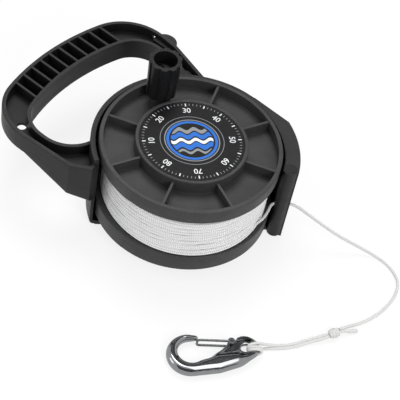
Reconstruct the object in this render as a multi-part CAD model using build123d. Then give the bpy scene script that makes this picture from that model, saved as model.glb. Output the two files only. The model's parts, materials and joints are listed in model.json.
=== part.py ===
from build123d import *
import math
import os

# A dive reel: a spool of white line in a black frame with a D-shaped handle.
# The origin is on the spool's axis at the floor, +Z is up and the handle lies along -X.
# Lengths are in millimetres and angles in degrees, counted from +X.

# Whole reel
flange_radius = 65.0
base_gap = 10.8
lower_flange_height = 14.2
line_width = 37.0
upper_flange_height = 11.4
ring_gap = 1.9
ring_wall = 3.9
foot_wall = 2.0
foot_round = 5.0
frame_drop = 3.4
overrun = 2.0
running_gap = 0.05
face_gap = 0.2

lower_flange_bottom = base_gap
lower_flange_top = lower_flange_bottom + lower_flange_height
upper_flange_bottom = lower_flange_top + line_width
upper_flange_top = upper_flange_bottom + upper_flange_height
frame_top = upper_flange_top - frame_drop
ring_inner = flange_radius + ring_gap
ring_outer = ring_inner + ring_wall
ring_foot = ring_inner + foot_wall
ring_middle = ring_inner + foot_wall / 2

# Spool mouldings
rim_width = 3.0
rim_edge = 0.9
web_thickness = 2.4
hub_outer = 40.0
hub_ring_width = 2.7
hub_stand = 1.9
hub_edge = 0.7
label_ledge = 1.6
label_drop = 0.3
label_thickness = 0.8
label_gap = 0.15
barrel_outer = 22.0
barrel_wall = 2.5
rib_thickness = 1.8
rib_drop = 0.9
rib_count = 8
rib_angle = 156.3
lower_rib_rise = 3.2
rim_inner = flange_radius - rim_width
hub_inner = hub_outer - hub_ring_width
hub_top = upper_flange_top + hub_stand
label_top = hub_top - label_drop
label_seat = label_top - label_thickness
web_top = upper_flange_bottom + web_thickness
lower_web_bottom = lower_flange_top - web_thickness
barrel_split = (lower_flange_top + upper_flange_bottom) / 2
barrel_inner = barrel_outer - barrel_wall

# Ratchet teeth under the lower flange
tooth_count = 36
tooth_tip = 60.5
tooth_depth = 2.5
tooth_ring_wall = 3.5
tooth_drop = 4.6
tooth_valley_share = 0.5
tooth_flank_share = 0.85
tooth_root = tooth_tip - tooth_depth
tooth_bottom = lower_flange_bottom - tooth_drop
tooth_step = 360 / tooth_count

# Axle and bearings
axle_radius = 5.0
axle_seat = 3.0
bush_wall = 3.0
bush_flange = 2.5
bush_flange_thickness = 1.2
bush_length = 14.0
bearing_wall = 3.0
thrust_washer_radius = 11.0
thrust_washer_thickness = 0.8
cap_washer_radius = 10.0
cap_washer_thickness = 1.2
axle_screw_radius = 2.0
axle_screw_head = 3.8
axle_screw_head_height = 2.4
axle_screw_length = 12.0
base_hub_radius = 14.0
base_hub_height = 9.0
bush_outer = axle_radius + running_gap + bush_wall
bearing_outer = bush_outer + bearing_wall
thrust_top = base_hub_height + thrust_washer_thickness
lower_bush_bottom = thrust_top + face_gap
lower_bush_seat = lower_bush_bottom + bush_flange_thickness
upper_bush_top = web_top + bush_flange_thickness
axle_top = upper_bush_top + face_gap
cap_washer_top = axle_top + cap_washer_thickness

# Screws through the barrel
barrel_screw_count = 4
barrel_screw_circle = 15.6
barrel_screw_angle = 45.0
barrel_screw_radius = 1.5
barrel_screw_head = 2.9
barrel_screw_head_height = 2.0
barrel_screw_reach = 12.0
barrel_boss_wall = 2.1
barrel_boss = barrel_screw_radius + barrel_boss_wall

# Line on the spool
line_diameter = 1.8
turn_spacing = 2.25
winding_end_gap = 1.5
winding_drop = 2.0
core_gap = 0.1
winding_sides = 6
gap_samples = 1200
arcs_in_turn = 4
line_radius = line_diameter / 2
winding_radius = flange_radius - winding_drop - line_radius
core_radius = winding_radius - line_radius - core_gap

# Winding knob
knob_circle = 51.2
knob_gap = 0.4
knob_height = 32.2
knob_base_radius = 10.8
knob_top_radius = 11.9
knob_hollow_radius = 8.6
knob_hollow_depth = 12.0
knob_flutes = 10
knob_flute_radius = 2.2
knob_flute_depth = 1.2
knob_edge = 0.6
knob_boss_radius = 7.5
spindle_radius = 3.0
spindle_head = 4.4
spindle_head_height = 3.6
spindle_slot_width = 1.1
spindle_slot_depth = 1.5
spindle_thread_radius = 2.5
spindle_thread_length = 8.0
insert_wall = 1.6
insert_length = 9.0
knob_bottom = upper_flange_top + knob_gap
knob_top = knob_bottom + knob_height
knob_floor = knob_top - knob_hollow_depth
insert_radius = spindle_thread_radius + insert_wall

# Frame ring, guide post, lug and base
window_start = -121.5
post_angle = 28.5
post_circle = 71.8
post_radius = 5.6
post_foot_round = 3.0
plug_radius = 4.6
plug_length = 24.0
plug_stand = 0.2
guide_hole_radius = 1.5
guide_angle = 45.0
guide_height = 33.0
ring_edge = 0.6
lug_stand = 7.2
lug_start_angle = 27.0
lug_end_angle = 63.7
lug_wall = 3.0
lug_roof = 4.0
base_thickness = 4.0
base_rib_count = 7
base_rib_thickness = 2.4
base_rib_top = 7.6
base_rib_reach = 50.0
base_rib_start = 70.0
base_rib_span = 127.0
window_middle = (window_start + post_angle) / 2
lug_radius = ring_outer + lug_stand
base_chord = ring_inner * math.cos(math.radians((post_angle - window_start) / 2))

# Handle
handle_drop = 5.0
handle_reach = 136.7
handle_half_width = 76.3
grip_thickness = 17.0
grip_depth = 24.4
grip_bow = 190.0
outer_corner = 38.0
outer_wall = 3.0
inner_wall = 2.6
lower_arm_width = 11.8
upper_arm_width = 14.8
opening_near = -53.5
grip_corner_share = 0.514
ring_corner_share = 0.547
corner_run = 30.7
slope_run = 2.0
arm_depth = 34.7
knee_x = -47.9
knee_inset = 3.1
knee_round = 3.0
panel_tip_x = -34.8
panel_tip_y = -64.2
upper_break_run = 14.0
upper_break_inset = 1.3
upper_break_round = 30.0
upper_foot_x = -20.0
upper_foot_y = 58.4
panel_foot_y = -50.0
arm_floor_drop = 8.5
arm_floor = 2.5
under_edge = 2.4
top_edge = 0.8
web_count = 10
web_pitch = 9.8
web_middle_y = 2.0
grip_web = 1.8
pocket_floor = 4.0
lanyard_inset_x = 35.2
lanyard_inset_y = 12.2
lanyard_radius = 3.4
handle_top = frame_top - handle_drop
grip_bottom = handle_top - grip_thickness
arm_bottom = handle_top - arm_depth
arm_floor_top = handle_top - arm_floor_drop
arm_floor_bottom = arm_floor_top - arm_floor
bow_centre_x = grip_bow - handle_reach
arm_end_x = bow_centre_x - math.sqrt(grip_bow**2 - handle_half_width**2) + corner_run
slope_start_x = arm_end_x + slope_run
knee_y = knee_inset - handle_half_width
upper_break_x = arm_end_x + upper_break_run
upper_break_y = handle_half_width - upper_break_inset
lanyard_x = lanyard_inset_x - handle_reach
lanyard_y = lanyard_inset_y - handle_half_width
opening_low = lower_arm_width - handle_half_width
opening_high = handle_half_width - upper_arm_width
opening_bow = grip_bow - grip_depth
opening_side = opening_near - bow_centre_x + math.sqrt(opening_bow**2 - opening_low**2)
opening_grip_corner = grip_corner_share * opening_side
opening_ring_corner = ring_corner_share * opening_side
pocket_width = web_pitch - grip_web

# Thumb lever, its shaft and the pawl
shaft_x = -53.0
shaft_y = 58.5
shaft_radius = 3.0
shaft_bore_gap = 0.08
lever_hub = 5.4
lever_thickness = 4.0
lever_width = 2.4
lever_lift = 0.3
lever_socket = 2.4
lever_travel = 6.0
lever_gap = 0.5
lever_bend_run = 14.0
lever_bend_inset = 11.0
tab_run = 3.4
tab_inset = 1.8
tab_radius = 9.15
tab_back = 4.5
tab_round = 1.0
slot_run = 18.0
slot_length = 26.4
tower_radius = 8.0
housing_margin = 3.0
housing_wall = 2.2
housing_height = 14.0
pawl_bottom = 5.6
pawl_thickness = 4.0
pawl_hub = 6.5
pawl_stem = 6.0
pawl_gap = 0.5
pawl_bar_gap = 1.0
pawl_bar_width = 3.0
pawl_reach_share = 1.74
pawl_tip_angle = 2.0
pawl_slot_spare_angle = 3.0
clip_radius = 5.0
clip_thickness = 1.0
lever_screw_radius = 1.2
lever_screw_head = 2.6
lever_screw_head_height = 1.4
lever_screw_reach = 7.0
detent_circle = 4.3
detent_ball_radius = 0.8
detent_side_gap = 0.05
detent_bore = 3.0
detent_angle = -60.0
detent_groove = 0.3
detent_wire = 0.15
detent_coil = 0.5
detent_turns = 3
detent_wire_sides = 6
lever_bottom = arm_floor_top + lever_lift
lever_top = lever_bottom + lever_thickness
shaft_top = lever_bottom + lever_socket
pawl_top = pawl_bottom + pawl_thickness
shaft_spot = (shaft_x, shaft_y)
shaft_angle = math.degrees(math.atan2(shaft_y, shaft_x))
shaft_circle = math.hypot(shaft_x, shaft_y)
housing_radius = shaft_circle - ring_middle + housing_margin
pawl_half_angle = pawl_reach_share * tooth_step
tooth_start = shaft_angle + (1 - tooth_valley_share) * tooth_step / 2
lever_bend_x = shaft_x - lever_bend_run
lever_bend_y = handle_half_width - lever_bend_inset
tab_x = arm_end_x + tab_run
tab_y = handle_half_width - tab_inset
slot_end = arm_end_x + slot_run
ball_height = arm_floor_top - detent_groove + detent_ball_radius + detent_side_gap

# Snap hook, lying flat. Its own x runs along it from its eye, at eye_x and eye_y.
eye_x = 113.2
eye_y = -65.7
hook_angle = -130.96
hook_thickness = 8.0
bow_x = 38.0
bow_y = 2.7
bow_radius = 16.3
eye_centre_x = -1.0
eye_centre_y = 0.8
eye_outer = 11.0
eye_hole = 5.0
eye_round = 1.4
shank_bottom = 2.15
shank_top = 5.95
shank_end = 16.5
taper_end = 23.0
throat_x = 36.8
throat_y = 0.4
throat_radius = 8.6
heel_x = 17.4
heel_y = -2.4
heel_radius = 3.0
mouth_start = 12.6
mouth_end = 29.6
hook_round = 1.4
level_share = 0.9
pivot_x = 8.0
pivot_y = -4.6
gate_pin_radius = 1.0
gate_pin_end = 0.1
gate_wire_radius = 0.85
gate_eyelet = 2.5
gate_eyelet_thickness = 1.4
gate_gap = 0.3
gate_reach = 31.2
gate_side = -7.2
gate_bend = 1.8
gate_seat_gap = 0.35
gate_low = shank_bottom - gate_gap - gate_wire_radius
gate_high = shank_top + gate_gap + gate_wire_radius
hook_place = Pos(eye_x, eye_y, 0) * Rot(0, 0, hook_angle)

# Knot, with its axis along the line
knot_x = 150.5
knot_y = -9.5
knot_height = 3.3
knot_angle = -111.7
knot_length = 9.0
knot_core = 2.3
knot_end_round = 0.35
knot_wrap = 2.2
knot_wrap_radius = 1.1
knot_wraps = 3
knot_wrap_tilt = 14.0

# Routes of the line, chosen by hand along the photographed curve
lead_route = [
    (64.1, 7.9, 34.6),
    (62.4, 19.7, 34.2),
    (58.2, 29.4, 33.2),
    (63.1, 34.3, 33.0),
]
free_route = [
    (63.1, 34.3, 33.0),
    (68.8, 40.0, 33.0),
    (80.3, 43.8, 28.5),
    (92.2, 49.1, 21.5),
    (104.7, 55.8, 13.5),
    (118.2, 64.6, 6.0),
    (130.6, 70.3, 1.6),
    (142.0, 70.9, 0.9),
    (152.8, 66.9, 0.9),
    (159.4, 60.5, 0.9),
    (163.2, 49.7, 0.9),
    (164.3, 36.4, 0.9),
    (162.3, 23.2, 0.9),
    (158.0, 11.0, 0.95),
    (153.6, 0.9, 3.3),
    (151.3, -4.95, 3.3),
]
tail_route = [
    (153.05, -5.65, 3.3),
    (154.2, -2.9, 3.2),
    (157.4, 0.2, 1.8),
    (160.4, 5.0, 0.9),
]
loop_route = [
    (147.9, -13.35, 3.3),
    (145.7, -18.6, 3.1),
    (139.6, -27.6, 1.6),
    (135.2, -36.5, 1.2),
    (129.5, -43.6, 2.4),
    (123.8, -49.5, 4.6),
    (119.9, -54.1, 6.4),
    (117.6, -58.0, 7.15),
    (114.7, -63.1, 7.15),
    (116.4, -64.1, 0.95),
    (119.3, -59.0, 0.95),
    (121.5, -55.2, 0.95),
    (125.2, -50.9, 0.95),
    (131.1, -45.0, 0.95),
    (136.8, -37.5, 0.95),
    (141.4, -28.4, 1.4),
    (147.4, -19.4, 3.1),
    (149.75, -14.1, 3.3),
]
run_share = 0.45


def polar(radius, angle, height=0.0):
    turn = math.radians(angle)
    return Vector(radius * math.cos(turn), radius * math.sin(turn), height)


def spot(radius, angle):
    point = polar(radius, angle)
    return point.X, point.Y


def disc(radius, low, high, place=(0, 0)):
    return Pos(*place, low) * extrude(Circle(radius), amount=high - low)


def tube(outer, inner, low, high, place=(0, 0)):
    return disc(outer, low, high, place) - disc(inner, low - overrun, high + overrun, place)


def slab(face, low, high):
    return Pos(0, 0, low) * extrude(face, amount=high - low)


def spoke(start, end, thickness, low, high, angle):
    """A radial rib from one radius to another."""
    plate = Pos((start + end) / 2, 0) * Rectangle(end - start, thickness)
    return Rot(0, 0, angle) * slab(plate, low, high)


def edges_at(body, height):
    return body.edges().filter_by_position(Axis.Z, height, height)


def polygon(points):
    return make_face(Polyline(*points, close=True))


def sector(radius, start, end):
    """A pie slice between two angles less than a half turn apart."""
    rim = ThreePointArc(polar(radius, start), polar(radius, (start + end) / 2), polar(radius, end))
    return make_face([Line((0, 0), rim @ 0), rim, Line(rim @ 1, (0, 0))])


def band(outer, inner, start, end):
    return sector(2 * outer, start, end) & Circle(outer) - Circle(inner)


def around(circles):
    """The outline of a belt round circles, each given as (x, y, radius)."""
    edges = [(Pos(x, y) * Circle(radius)).edge() for x, y, radius in circles]
    return make_hull(ShapeList(edges))


# Frame


def handle_outline():
    far = handle_reach + outer_corner
    face = polygon(
        [
            (panel_tip_x, panel_foot_y),
            (panel_tip_x, panel_tip_y),
            (knee_x, knee_y),
            (arm_end_x, -handle_half_width),
            (-far, -handle_half_width),
            (-far, handle_half_width),
            (arm_end_x, handle_half_width),
            (upper_break_x, upper_break_y),
            (upper_foot_x, upper_foot_y),
        ]
    )
    face = face & Pos(bow_centre_x, 0) * Circle(grip_bow)
    face = fillet(face.vertices().filter_by(lambda v: v.X < arm_end_x - outer_wall), outer_corner)
    face = fillet(face.vertices().sort_by_distance((knee_x, knee_y))[0], knee_round)
    return fillet(face.vertices().sort_by_distance((upper_break_x, upper_break_y))[0], upper_break_round)


def opening_outline():
    middle = (opening_high + opening_low) / 2
    block = Pos(opening_near - handle_reach / 2, middle) * Rectangle(handle_reach, opening_high - opening_low)
    face = block & Pos(bow_centre_x, 0) * Circle(grip_bow - grip_depth)
    ring_side = face.vertices().sort_by(Axis.X)[-2:]
    face = fillet(ring_side, opening_ring_corner)
    grip_side = face.vertices().sort_by(Axis.X)[:2]
    return fillet(grip_side, opening_grip_corner)


def handle_side():
    """The handle from the side: its underside rises from the ring to the grip."""
    far = handle_reach + outer_corner
    side = polygon(
        [
            (-far, grip_bottom),
            (slope_start_x, grip_bottom),
            (panel_tip_x, arm_bottom),
            (0, arm_bottom),
            (0, handle_top),
            (-far, handle_top),
        ]
    )
    return extrude(Plane.XZ * side, amount=2 * handle_half_width, both=True)


def handle():
    outline = handle_outline()
    opening = opening_outline()
    body = slab(outline, arm_bottom, handle_top) & handle_side()
    under = body.faces().filter_by(lambda face: face.normal_at().Z < 0).edges()
    body = fillet(under.filter_by(lambda edge: abs(edge.tangent_at(0).X) > 0), under_edge)
    body = fillet(edges_at(body, handle_top), top_edge)
    body -= slab(opening - Circle(ring_outer), arm_bottom - overrun, handle_top + overrun)
    body -= disc(ring_middle, arm_bottom - overrun, handle_top + overrun)
    inside = offset(outline, -outer_wall) - offset(opening, inner_wall) - Circle(ring_outer)
    grip_width = (web_count - 1) * web_pitch + grip_web
    grip = Pos(-handle_reach, web_middle_y) * Rectangle(handle_reach / 2, grip_width)
    arms = inside - grip
    body -= slab(arms, arm_floor_top, handle_top + overrun)
    body -= slab(arms, arm_bottom - overrun, arm_floor_bottom)
    for index in range(web_count - 1):
        across = web_middle_y + (index - (web_count - 2) / 2) * web_pitch
        pocket = inside & Pos(-handle_reach, across) * Rectangle(handle_reach / 2, pocket_width)
        body -= slab(pocket, grip_bottom + pocket_floor, handle_top + overrun)
    body -= disc(lanyard_radius, arm_floor_bottom - overrun, arm_floor_top + overrun, (lanyard_x, lanyard_y))
    slot = Pos(slot_end - slot_length / 2, handle_half_width) * Rectangle(slot_length, 4 * outer_wall)
    body -= slab(slot, arm_floor_top, lever_top + lever_gap)
    return body - lever_space()


def lug_outline():
    """The thickening of the ring wall beside the guide post, which runs out along a tangent."""
    lean = math.degrees(math.acos(ring_outer / lug_radius))
    end_angle = lug_end_angle + lean
    tip = polar(lug_radius, lug_end_angle)
    touch = polar(ring_outer, end_angle)
    outer = ThreePointArc(
        polar(lug_radius, lug_start_angle),
        polar(lug_radius, (lug_start_angle + lug_end_angle) / 2),
        tip,
    )
    inner = ThreePointArc(
        polar(ring_middle, end_angle),
        polar(ring_middle, (lug_start_angle + end_angle) / 2),
        polar(ring_middle, lug_start_angle),
    )
    sides = [Line(tip, touch), Line(touch, inner @ 0), Line(inner @ 1, outer @ 0)]
    return make_face([outer, inner] + sides)


def tub():
    """The ring wall, which leans in towards its rounded foot, and the base with its straight front."""
    body = Pos(0, 0, frame_top / 2) * Cone(ring_foot, ring_outer, frame_top)
    body = fillet(edges_at(body, 0), foot_round)
    body -= disc(ring_inner, base_thickness, frame_top + overrun)
    body = fillet(edges_at(body, frame_top), ring_edge)
    window = band(2 * ring_outer, ring_inner - overrun, window_start, post_angle)
    body -= slab(window, -overrun, frame_top + overrun)
    size = 4 * ring_outer
    front = Rot(0, 0, window_middle) * Pos(base_chord + size / 2, 0) * Rectangle(size, size)
    return body - slab(front & Circle(ring_inner), -overrun, frame_top + overrun)


def base_ribs():
    body = disc(base_hub_radius, 0, base_hub_height)
    for index in range(base_rib_count):
        angle = base_rib_start + index * base_rib_span / (base_rib_count - 1)
        body += spoke(base_hub_radius / 2, base_rib_reach, base_rib_thickness, 0, base_rib_top, angle)
    return body


def pawl_housing():
    """What the frame has round the lever's shaft, outside the ring wall."""
    body = disc(tower_radius, 0, arm_floor_top, shaft_spot)
    body += disc(housing_radius, 0, housing_height, shaft_spot)
    return body - disc(ring_middle, -overrun, frame_top)


def reel_frame():
    post_spot = spot(post_circle, post_angle)
    body = tub()
    lug = lug_outline()
    body += slab(lug, 0, frame_top)
    core = offset(lug, -lug_wall) - Pos(*post_spot) * Circle(post_radius + lug_wall)
    body -= slab(core, -overrun, frame_top - lug_roof)
    post = disc(post_radius, 0, frame_top, post_spot)
    body += fillet(edges_at(post, 0), post_foot_round)
    body += base_ribs()
    body -= disc(axle_radius, axle_seat, base_hub_height + overrun)
    body += handle()
    body += pawl_housing()
    cavity = disc(housing_radius - housing_wall, -overrun, housing_height - housing_wall, shaft_spot)
    body -= cavity - disc(ring_middle, -overrun, frame_top)
    slot_half = pawl_half_angle + pawl_slot_spare_angle
    slot = band(ring_outer, ring_inner - overrun, shaft_angle - slot_half, shaft_angle + slot_half)
    body -= slab(slot, base_thickness, housing_height - housing_wall)
    body -= disc(shaft_radius + shaft_bore_gap, 0, frame_top, shaft_spot)
    body -= groove()
    body -= tube(ring_inner, base_rib_reach + overrun, base_thickness, frame_top + overrun)
    body -= disc(plug_radius, frame_top - plug_length, frame_top + overrun, post_spot)
    through = Plane(origin=(*post_spot, guide_height), z_dir=polar(1, guide_angle))
    return body - through * Cylinder(guide_hole_radius, 4 * post_radius)


def groove():
    """The round track of the lever's ball in the handle's floor."""
    ring = Plane.XZ * Pos(detent_circle, ball_height) * Circle(detent_ball_radius + detent_side_gap)
    return Pos(*shaft_spot, 0) * revolve(ring, Axis.Z)


def guide_plug():
    return disc(plug_radius, frame_top - plug_length, frame_top + plug_stand, spot(post_circle, post_angle))


# Axle


def axle_pin():
    body = disc(axle_radius, axle_seat, axle_top)
    return body - disc(axle_screw_radius, axle_top - axle_screw_length, axle_top + overrun)


def thrust_washer():
    return tube(thrust_washer_radius, axle_radius + running_gap, base_hub_height, thrust_top)


def axle_cap_washer():
    return tube(cap_washer_radius, axle_screw_radius, axle_top, cap_washer_top)


def axle_screw():
    head_top = cap_washer_top + axle_screw_head_height
    head = disc(axle_screw_head, cap_washer_top, head_top)
    head = fillet(edges_at(head, head_top), rim_edge)
    return head + disc(axle_screw_radius, axle_top - axle_screw_length, cap_washer_top)


# Spool


def flange_rim(low, high):
    rim = tube(flange_radius, rim_inner, low, high)
    edges = rim.edges().filter_by(GeomType.CIRCLE).group_by(SortBy.RADIUS)[-1]
    return fillet(edges, rim_edge)


def barrel_screw_spots():
    step = 360 / barrel_screw_count
    return [spot(barrel_screw_circle, barrel_screw_angle + index * step) for index in range(barrel_screw_count)]


def rib_angles():
    return [rib_angle + index * 360 / rib_count for index in range(rib_count)]


def spool_upper():
    body = flange_rim(upper_flange_bottom, upper_flange_top)
    body += tube(rim_inner + rim_edge, bush_outer, upper_flange_bottom, web_top)
    cup = tube(hub_outer, hub_inner, upper_flange_bottom, hub_top)
    body += fillet(edges_at(cup, hub_top), hub_edge)
    body += tube(hub_inner + label_gap, hub_inner - label_ledge, upper_flange_bottom, label_seat)
    body += tube(barrel_outer, barrel_inner, barrel_split, web_top)
    body += tube(bearing_outer, bush_outer, upper_flange_bottom - bush_length, web_top)
    for angle in rib_angles():
        start = hub_outer - hub_ring_width / 2
        end = rim_inner + rim_width / 2
        body += spoke(start, end, rib_thickness, upper_flange_bottom, upper_flange_top - rib_drop, angle)
    knob_spot = spot(knob_circle, rib_angle)
    body += disc(knob_boss_radius, upper_flange_bottom, upper_flange_top, knob_spot)
    body -= disc(insert_radius, upper_flange_top - insert_length, upper_flange_top + overrun, knob_spot)
    for place in barrel_screw_spots():
        body += disc(barrel_boss, barrel_split, web_top, place)
        body -= disc(barrel_screw_radius, barrel_split - overrun, web_top + overrun, place)
    return body


def tooth_ring():
    points = []
    for index in range(tooth_count):
        start = tooth_start + index * tooth_step
        points.append(spot(tooth_root, start))
        points.append(spot(tooth_root, start + tooth_valley_share * tooth_step))
        points.append(spot(tooth_tip, start + tooth_flank_share * tooth_step))
        points.append(spot(tooth_tip, start + tooth_step))
    return polygon(points) - Circle(tooth_root - tooth_ring_wall)


def spool_lower():
    body = flange_rim(lower_flange_bottom, lower_flange_top)
    body += tube(rim_inner + rim_edge, bush_outer, lower_web_bottom, lower_flange_top)
    body += tube(barrel_outer, barrel_inner, lower_web_bottom, barrel_split)
    body += tube(bearing_outer, bush_outer, lower_bush_seat, lower_flange_top)
    body += slab(tooth_ring(), tooth_bottom, lower_web_bottom)
    for angle in rib_angles():
        start = bearing_outer - bearing_wall / 2
        end = tooth_root - tooth_ring_wall / 2
        body += spoke(start, end, rib_thickness, lower_flange_bottom + lower_rib_rise, lower_web_bottom, angle)
    for place in barrel_screw_spots():
        body += disc(barrel_boss, lower_web_bottom, barrel_split, place)
        body -= disc(barrel_screw_radius, barrel_split - barrel_screw_reach, barrel_split + overrun, place)
    return body


def bush(low, high, flange_low):
    inner = axle_radius + running_gap
    flange = tube(bush_outer + bush_flange, inner, flange_low, flange_low + bush_flange_thickness)
    return flange + tube(bush_outer, inner, low, high)


def upper_bush():
    return bush(upper_flange_bottom - bush_length, upper_bush_top, web_top)


def lower_bush():
    return bush(lower_bush_bottom, lower_bush_bottom + bush_length, lower_bush_bottom)


def barrel_screws():
    screws = []
    head_top = web_top + barrel_screw_head_height
    for place in barrel_screw_spots():
        head = disc(barrel_screw_head, web_top, head_top, place)
        head = fillet(edges_at(head, head_top), rim_edge)
        screw = head + disc(barrel_screw_radius, barrel_split - barrel_screw_reach, web_top, place)
        screws.append(screw.solid())
    return Compound(children=screws)


def hub_label():
    return disc(hub_inner - label_gap, label_seat, label_top)


# Winding knob


def knob_insert():
    low = upper_flange_top - insert_length
    return tube(insert_radius, spindle_thread_radius, low, upper_flange_top, spot(knob_circle, rib_angle))


def knob_spindle():
    place = spot(knob_circle, rib_angle)
    seat = knob_floor + face_gap
    top = seat + spindle_head_height
    body = disc(spindle_thread_radius, upper_flange_top - spindle_thread_length, upper_flange_top, place)
    body += disc(spindle_radius, upper_flange_top, seat, place)
    head = disc(spindle_head, seat, top, place)
    body += fillet(edges_at(head, top), rim_edge)
    slot = Pos(*place) * Rectangle(4 * spindle_head, spindle_slot_width)
    return body - slab(slot, top - spindle_slot_depth, top + overrun)


def knob_grip():
    low = Plane.XY.offset(knob_bottom) * Circle(knob_base_radius)
    high = Plane.XY.offset(knob_top) * Circle(knob_top_radius)
    body = loft([low.face(), high.face()])
    body = fillet(body.edges().filter_by(GeomType.CIRCLE), knob_edge)
    lean = math.degrees(math.atan((knob_top_radius - knob_base_radius) / knob_height))
    reach = (knob_base_radius + knob_top_radius) / 2 + knob_flute_radius - knob_flute_depth
    middle = (knob_bottom + knob_top) / 2
    flute = Pos(reach, 0, middle) * Rot(0, lean, 0) * Cylinder(knob_flute_radius, 2 * knob_height)
    for index in range(knob_flutes):
        body -= Rot(0, 0, index * 360 / knob_flutes) * flute
    body -= disc(knob_hollow_radius, knob_floor, knob_top + overrun)
    body -= disc(spindle_radius + running_gap, knob_bottom - overrun, knob_top)
    return Pos(*spot(knob_circle, rib_angle), 0) * body


# Ratchet


def lever_outline(gap=0.0):
    """The lever without its tab, grown by a gap."""
    bend = (lever_bend_x, lever_bend_y, lever_width / 2 + gap)
    arm = around([(shaft_x, shaft_y, lever_width + gap), bend])
    arm += around([bend, (tab_x, tab_y - tab_back + lever_width, lever_width / 2 + gap)])
    return arm + Pos(*shaft_spot) * Circle(lever_hub + gap)


def lever_space():
    """What the lever sweeps as it turns, with a gap round it."""
    swept = lever_outline(lever_gap)
    for turn in (-lever_travel, lever_travel):
        swept += Pos(*shaft_spot) * Rot(0, 0, turn) * Pos(-shaft_x, -shaft_y) * lever_outline(lever_gap)
    return slab(swept, arm_floor_top, lever_top + lever_gap)


def thumb_lever():
    tab = Circle(tab_radius) - Pos(0, -tab_radius - tab_back) * Rectangle(4 * tab_radius, 2 * tab_radius)
    tab = fillet(tab.vertices(), tab_round)
    body = slab(lever_outline() + Pos(tab_x, tab_y) * tab, lever_bottom, lever_top)
    body -= disc(shaft_radius, lever_bottom - overrun, shaft_top, shaft_spot)
    body -= disc(lever_screw_radius, lever_bottom, lever_top + overrun, shaft_spot)
    bore = detent_ball_radius + detent_side_gap
    return body - disc(bore, lever_bottom - overrun, lever_bottom + detent_bore, detent_spot())


def detent_spot():
    place = Vector(shaft_x, shaft_y) + polar(detent_circle, detent_angle)
    return place.X, place.Y


def detent_ball():
    return Pos(*detent_spot(), ball_height) * Sphere(detent_ball_radius)


def detent_spring():
    low = ball_height + detent_ball_radius + detent_wire
    height = lever_bottom + detent_bore - detent_wire - low
    path = Helix(pitch=height / detent_turns, height=height, radius=detent_coil)
    section = Plane(origin=path @ 0, z_dir=path % 0) * RegularPolygon(detent_wire, detent_wire_sides)
    return Pos(*detent_spot(), low) * sweep(section, path=path)


def lever_shaft():
    body = disc(shaft_radius, pawl_bottom, shaft_top, shaft_spot)
    return body - disc(lever_screw_radius, shaft_top - lever_screw_reach, shaft_top + overrun, shaft_spot)


def lever_screw():
    body = disc(lever_screw_radius, shaft_top - lever_screw_reach, lever_top, shaft_spot)
    return body + disc(lever_screw_head, lever_top, lever_top + lever_screw_head_height, shaft_spot)


def pawl():
    """An anchor whose two tips reach the teeth when it rocks either way."""
    start = shaft_angle - pawl_half_angle
    end = shaft_angle + pawl_half_angle
    bar_outer = ring_inner - pawl_bar_gap
    bar_inner = bar_outer - pawl_bar_width
    tip_inner = tooth_tip + pawl_gap
    plate = band(bar_outer, bar_inner, start, end)
    plate += band(bar_outer, tip_inner, start, start + pawl_tip_angle)
    plate += band(bar_outer, tip_inner, end - pawl_tip_angle, end)
    stem = Pos((bar_inner + shaft_circle) / 2, 0) * Rectangle(shaft_circle - bar_inner, pawl_stem)
    plate += Rot(0, 0, shaft_angle) * stem - Circle(bar_inner + pawl_bar_width / 2)
    plate += Pos(*shaft_spot) * Circle(pawl_hub)
    return slab(plate, pawl_bottom, pawl_top) - disc(shaft_radius, 0, frame_top, shaft_spot)


def pawl_clip():
    return tube(clip_radius, shaft_radius, pawl_bottom - clip_thickness, pawl_bottom, shaft_spot)


# Line


def line_core():
    low = lower_flange_top + core_gap
    high = upper_flange_bottom - core_gap
    return tube(core_radius, barrel_outer + core_gap, low, high)


def biarc(start, start_way, end, end_way):
    """Two arcs that join two points and leave and meet them in the given directions."""
    chord = end - start
    both = start_way + end_way
    square = both.dot(both) - 4
    linear = -2 * chord.dot(both)
    root = math.sqrt(linear * linear - 4 * square * chord.dot(chord))
    reach = (-linear - root) / (2 * square)
    first = start + start_way * reach
    second = end - end_way * reach
    joint = (first + second) / 2
    return [TangentArc(start, joint, tangent=start_way), TangentArc(joint, end, tangent=second - first)]


def winding_point(turns):
    """Where the line's middle is after so many turns, and which way it runs there."""
    angle = turns * 360
    place = polar(winding_radius, angle, lower_flange_top + winding_end_gap + turns * turn_spacing)
    return place, polar(winding_radius, angle + 90, turn_spacing / math.tau).normalized()


def line_winding():
    turns = math.floor((line_width - 2 * winding_end_gap) / turn_spacing)
    path = []
    for index in range(turns * arcs_in_turn):
        start = winding_point(index / arcs_in_turn)
        end = winding_point((index + 1) / arcs_in_turn)
        path += biarc(*start, *end)
    low, low_way = winding_point(0)
    high, high_way = winding_point(turns)
    tail = Line(high, high + high_way * line_diameter)
    wire = Wire([Line(low - low_way * line_diameter, low)] + path + [tail])
    samples = [wire.position_at(index / gap_samples) for index in range(gap_samples + 1)]
    in_turn = gap_samples // turns
    gap = min(
        (point - other).length
        for index, point in enumerate(samples)
        for other in samples[index + in_turn // 2 : index + 2 * in_turn]
    )
    print("line_winding turns", turns, "least gap", round(gap - line_diameter, 2))
    section = Plane(origin=wire @ 0, z_dir=low_way) * RegularPolygon(line_radius, winding_sides)
    return sweep(section, path=wire)


def bend_radii(points):
    """Radii that leave a straight stretch between neighbouring bends."""
    radii = []
    for before, corner, after in zip(points, points[1:], points[2:]):
        first = corner - before
        second = after - corner
        half_turn = math.radians(first.get_angle(second)) / 2
        radii.append(run_share * min(first.length, second.length) / math.tan(half_turn))
    return radii


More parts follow.
